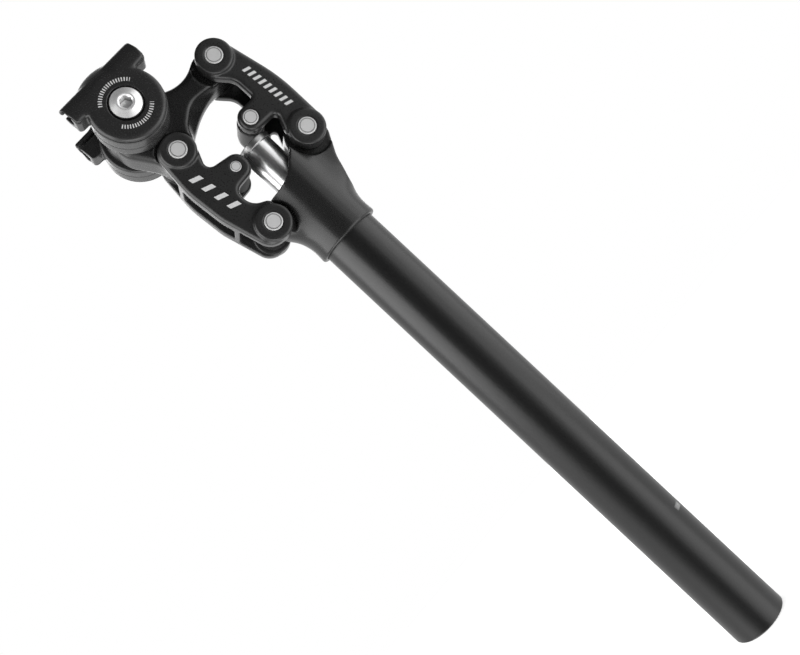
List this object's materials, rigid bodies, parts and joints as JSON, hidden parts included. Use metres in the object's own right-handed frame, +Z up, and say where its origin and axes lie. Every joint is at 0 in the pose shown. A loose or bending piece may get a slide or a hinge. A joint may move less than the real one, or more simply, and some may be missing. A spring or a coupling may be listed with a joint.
{
  "type": "suspension seatpost",
  "caption": "Bicycle seatpost whose saddle clamp is carried on a parallelogram of two forged links, sprung by a plunger and coil spring inside the post.",
  "frame": {"origin": "on the post axis, in the lower face of the housing's collar, where the post stops going into the frame", "axes": "+Z up the post towards the saddle clamp, +X to the front of the bicycle, +Y to its left"},
  "size_m": [0.0798, 0.0573, 0.3681],
  "materials": {
    "post_anodised": "matte black anodised",
    "forging_black": "satin black paint on forged aluminium",
    "link_black": "satin black paint on forged aluminium",
    "clamp_black": "satin black paint on forged aluminium",
    "pin_zinc": "plain zinc-plated steel",
    "bolt_zinc": "bright zinc-plated steel",
    "plunger_chrome": "polished hard chrome",
    "cap_steel": "fine turned steel",
    "spring_steel": "oiled spring steel",
    "bush_polymer": "dark bearing plastic",
    "roller_polymer": "dark grey hard plastic",
    "bumper_rubber": "black rubber",
    "plug_black": "black anodised"
  },
  "bodies": {
    "post": {"post_tube": "post_anodised", "lower_housing": "forging_black", "plunger_guide_bush": "bush_polymer", "housing_pivot_bushes": "bush_polymer", "main_spring": "spring_steel"},
    "plunger": {"plunger": "plunger_chrome", "plunger_cap": "cap_steel"},
    "spring_seat": {"spring_seat": "bush_polymer"},
    "preload_plug": {"preload_plug": "plug_black"},
    "front_link": {"front_link": "link_black", "axle_front_lower": "pin_zinc", "axle_front_upper": "pin_zinc", "axle_screws_front": "pin_zinc", "roller_pin": "pin_zinc", "roller_washers": "pin_zinc"},
    "roller": {"roller": "roller_polymer"},
    "rear_link": {"rear_link": "link_black", "axle_rear_lower": "pin_zinc", "axle_rear_upper": "pin_zinc", "axle_screws_rear": "pin_zinc", "bumper_pin": "pin_zinc", "bumper_sleeve": "bumper_rubber"},
    "head": {"saddle_head": "forging_black", "head_pivot_bushes": "bush_polymer"},
    "cradle": {"inner_clamp_right": "clamp_black", "inner_clamp_left": "clamp_black"},
    "outer_right": {"outer_clamp_right": "clamp_black"},
    "outer_left": {"outer_clamp_left": "clamp_black", "clamp_nut": "bolt_zinc"},
    "clamp_bolt": {"clamp_bolt": "bolt_zinc"}
  },
  "joints": [
    {"name": "front_link_swing", "type": "hinge", "parent": "post", "child": "front_link", "pos_m": [0.0194, 0, 0.045], "axis": [0, -1, 0], "range_deg": [0, 50], "stiffness_Nm_per_rad": 12, "springref_deg": -28.65},
    {"name": "rear_link_swing", "type": "hinge", "parent": "post", "child": "rear_link", "pos_m": [-0.0217, 0, 0.0257], "axis": [0, -1, 0], "range_deg": [0, 50]},
    {"name": "head_level", "type": "hinge", "parent": "front_link", "child": "head", "pos_m": [0.0139, 0, 0.095], "axis": [0, -1, 0], "range_deg": [-50, 0]},
    {"name": "plunger_slide", "type": "slide", "parent": "post", "child": "plunger", "axis": [0, 0, -1], "range_m": [0, 0.018], "deforming": ["main_spring"]},
    {"name": "roller_spin", "type": "hinge", "parent": "front_link", "child": "roller", "pos_m": [0.0052, 0, 0.0649], "axis": [0, 1, 0], "continuous": true},
    {"name": "saddle_tilt", "type": "hinge", "parent": "head", "child": "cradle", "pos_m": [-0.0304, 0, 0.1005], "axis": [0, -1, 0], "range_deg": [-15, 15]},
    {"name": "clamp_bolt_turn", "type": "hinge", "parent": "outer_right", "child": "clamp_bolt", "pos_m": [-0.0304, 0, 0.1005], "axis": [0, -1, 0], "range_deg": [0, 1440]},
    {"name": "outer_right_slide", "type": "slide", "parent": "cradle", "child": "outer_right", "axis": [0, -1, 0], "range_m": [0, 0.0025]},
    {"name": "outer_left_slide", "type": "slide", "parent": "cradle", "child": "outer_left", "axis": [0, 1, 0], "range_m": [0, 0.0025]},
    {"name": "preload_turn", "type": "hinge", "parent": "spring_seat", "child": "preload_plug", "pos_m": [0, 0, -0.2355], "axis": [0, 0, 1], "range_deg": [0, 1440]},
    {"name": "preload_travel", "type": "slide", "parent": "post", "child": "spring_seat", "axis": [0, 0, 1], "range_m": [0, 0.006]}
  ],
  "couplings": [
    {"joint": "rear_link_swing", "follows": "front_link_swing", "ratio": 1},
    {"joint": "head_level", "follows": "front_link_swing", "ratio": -1},
    {"joint": "plunger_slide", "follows": "front_link_swing", "m_per_rad": 0.0206},
    {"joint": "outer_left_slide", "follows": "outer_right_slide", "ratio": 1},
    {"joint": "clamp_bolt_turn", "follows": "outer_right_slide", "rad_per_m": 10053},
    {"joint": "preload_turn", "follows": "preload_travel", "rad_per_m": 4188.8}
  ]
}
